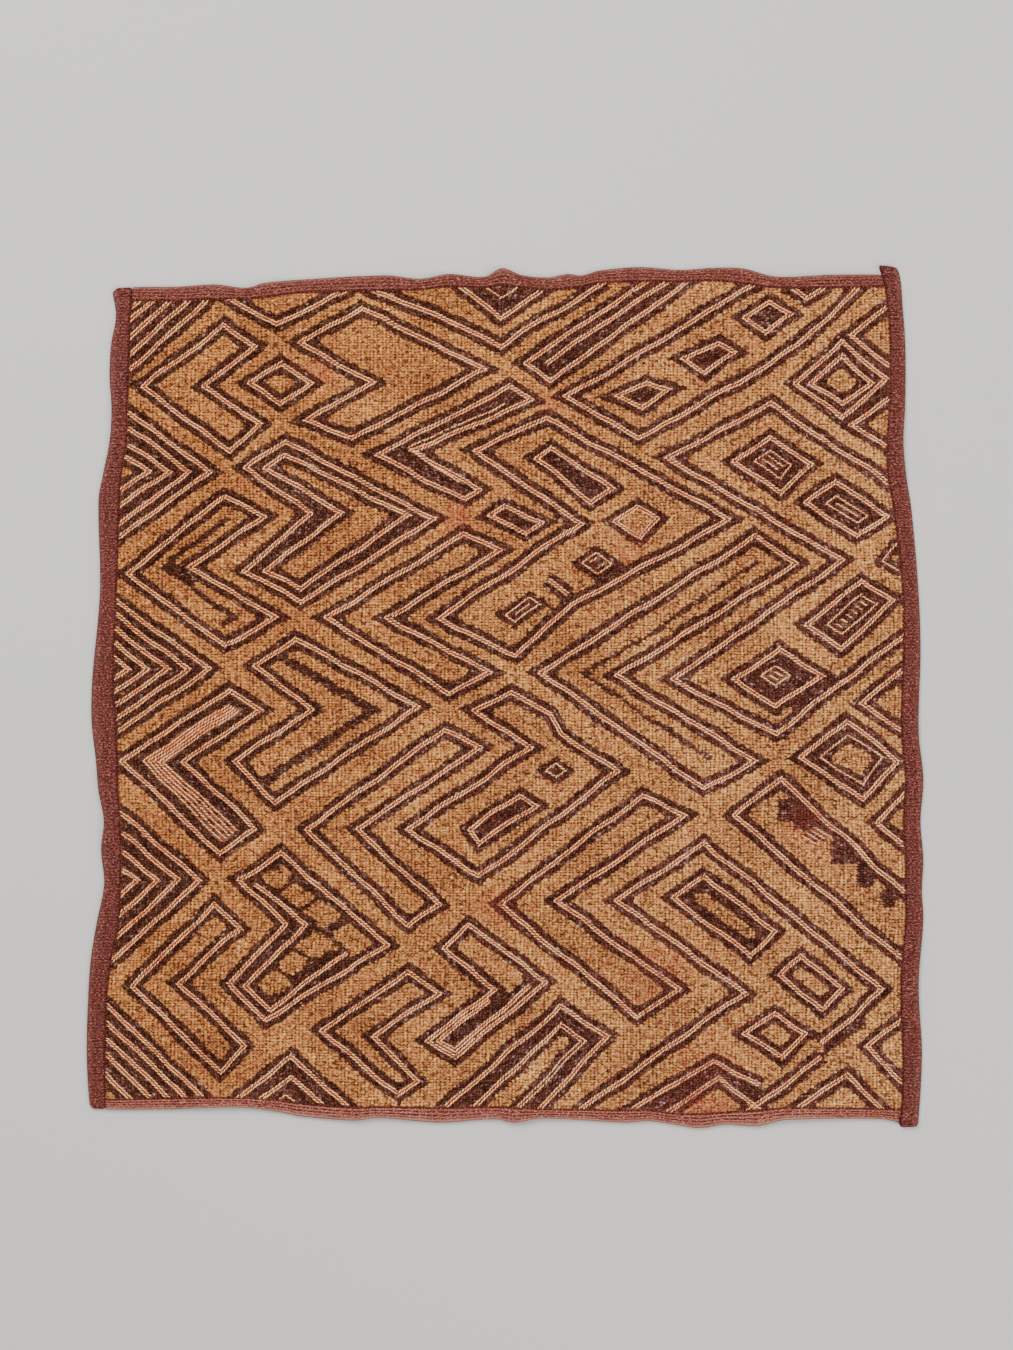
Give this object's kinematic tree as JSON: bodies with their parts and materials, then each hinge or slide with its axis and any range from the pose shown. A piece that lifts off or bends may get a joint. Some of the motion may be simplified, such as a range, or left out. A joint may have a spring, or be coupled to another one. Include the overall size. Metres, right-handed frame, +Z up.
{
  "type": "embroidered cut-pile raffia cloth with sewn binding",
  "caption": "Square cut-pile raffia cloth with a geometric lozenge pattern, its edges bound in folded red raffia strips, lying flat.",
  "frame": {"origin": "middle of the cloth's outline, on the surface it lies on", "axes": "+Z up out of the pile, +Y towards the top edge as pictured, +X towards the right edge"},
  "size_m": [0.602, 0.621, 0.0059],
  "materials": {
    "pile_cloth": "cut raffia pile with dark brown and pale stitched lines",
    "binding": "plain-woven raffia dyed brick red"
  },
  "bodies": {
    "root": {"panel": "pile_cloth", "binding_left": "binding", "binding_right": "binding", "binding_top": "binding", "binding_bottom": "binding"}
  },
  "joints": []
}
